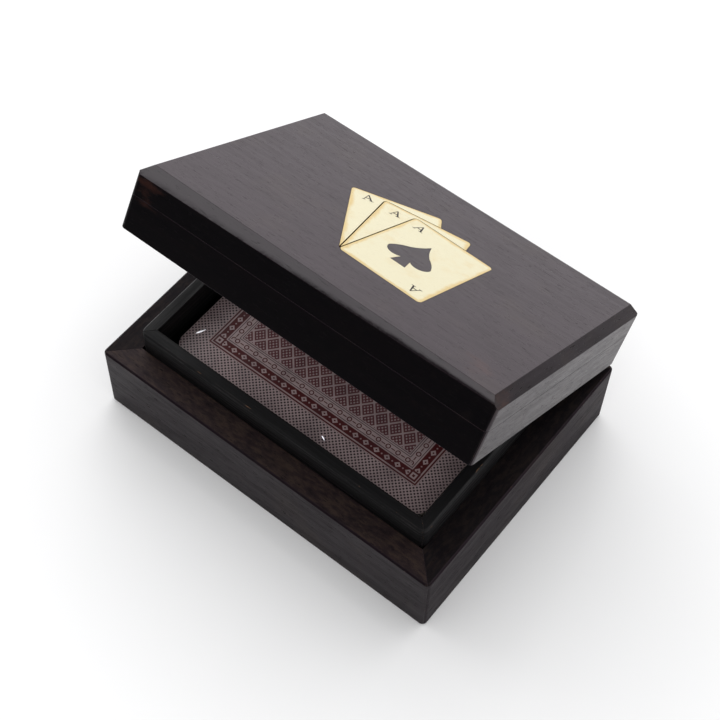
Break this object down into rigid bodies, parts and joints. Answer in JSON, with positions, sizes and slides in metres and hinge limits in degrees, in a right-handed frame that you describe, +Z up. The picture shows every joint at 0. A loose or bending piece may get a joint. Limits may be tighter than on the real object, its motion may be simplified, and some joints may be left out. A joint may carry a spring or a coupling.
{
  "type": "hinged playing card box",
  "caption": "Dark wooden box for a pack of playing cards, with a raised lip round the well, a thick hinged lid and fanned brass cards let into its top.",
  "frame": {"origin": "middle of the base's underside, on the surface the box stands on", "axes": "+X along the long side to the right as seen from the front, +Y to the back where the hinges are, +Z up"},
  "size_m": [0.116, 0.0965, 0.0873],
  "materials": {
    "ebonised_wood": "satin, open fine pores",
    "liner_wood": "satin black",
    "felt": "short matt felt",
    "card_edges": "cut card edges",
    "card_back": "printed, coated card",
    "brass": "polished",
    "spade_black": "polished black"
  },
  "bodies": {
    "base": {"base_front_rail": "ebonised_wood", "base_back_rail": "ebonised_wood", "base_left_rail": "ebonised_wood", "base_right_rail": "ebonised_wood", "base_bottom_board": "ebonised_wood", "liner_front_strip": "liner_wood", "liner_back_strip": "liner_wood", "liner_left_strip": "liner_wood", "liner_right_strip": "liner_wood", "well_lining": "felt", "card_stack": "card_edges", "top_card": "card_back", "hinge_left_base_leaf": "brass", "hinge_left_pin": "brass", "hinge_left_base_screw_1": "brass", "hinge_left_base_screw_2": "brass", "hinge_right_base_leaf": "brass", "hinge_right_pin": "brass", "hinge_right_base_screw_1": "brass", "hinge_right_base_screw_2": "brass"},
    "lid": {"lid_front_rail": "ebonised_wood", "lid_back_rail": "ebonised_wood", "lid_left_rail": "ebonised_wood", "lid_right_rail": "ebonised_wood", "lid_board": "ebonised_wood", "ace_plate_front": "brass", "ace_plate_middle": "brass", "ace_plate_back": "brass", "spade_inlay": "spade_black", "hinge_left_lid_leaf": "brass", "hinge_left_lid_screw_1": "brass", "hinge_left_lid_screw_2": "brass", "hinge_right_lid_leaf": "brass", "hinge_right_lid_screw_1": "brass", "hinge_right_lid_screw_2": "brass"}
  },
  "joints": [
    {"name": "lid_hinge", "type": "hinge", "parent": "base", "child": "lid", "pos_m": [0, 0.0455, 0.02558], "axis": [-1, 0, 0], "range_deg": [-31, 79]}
  ]
}
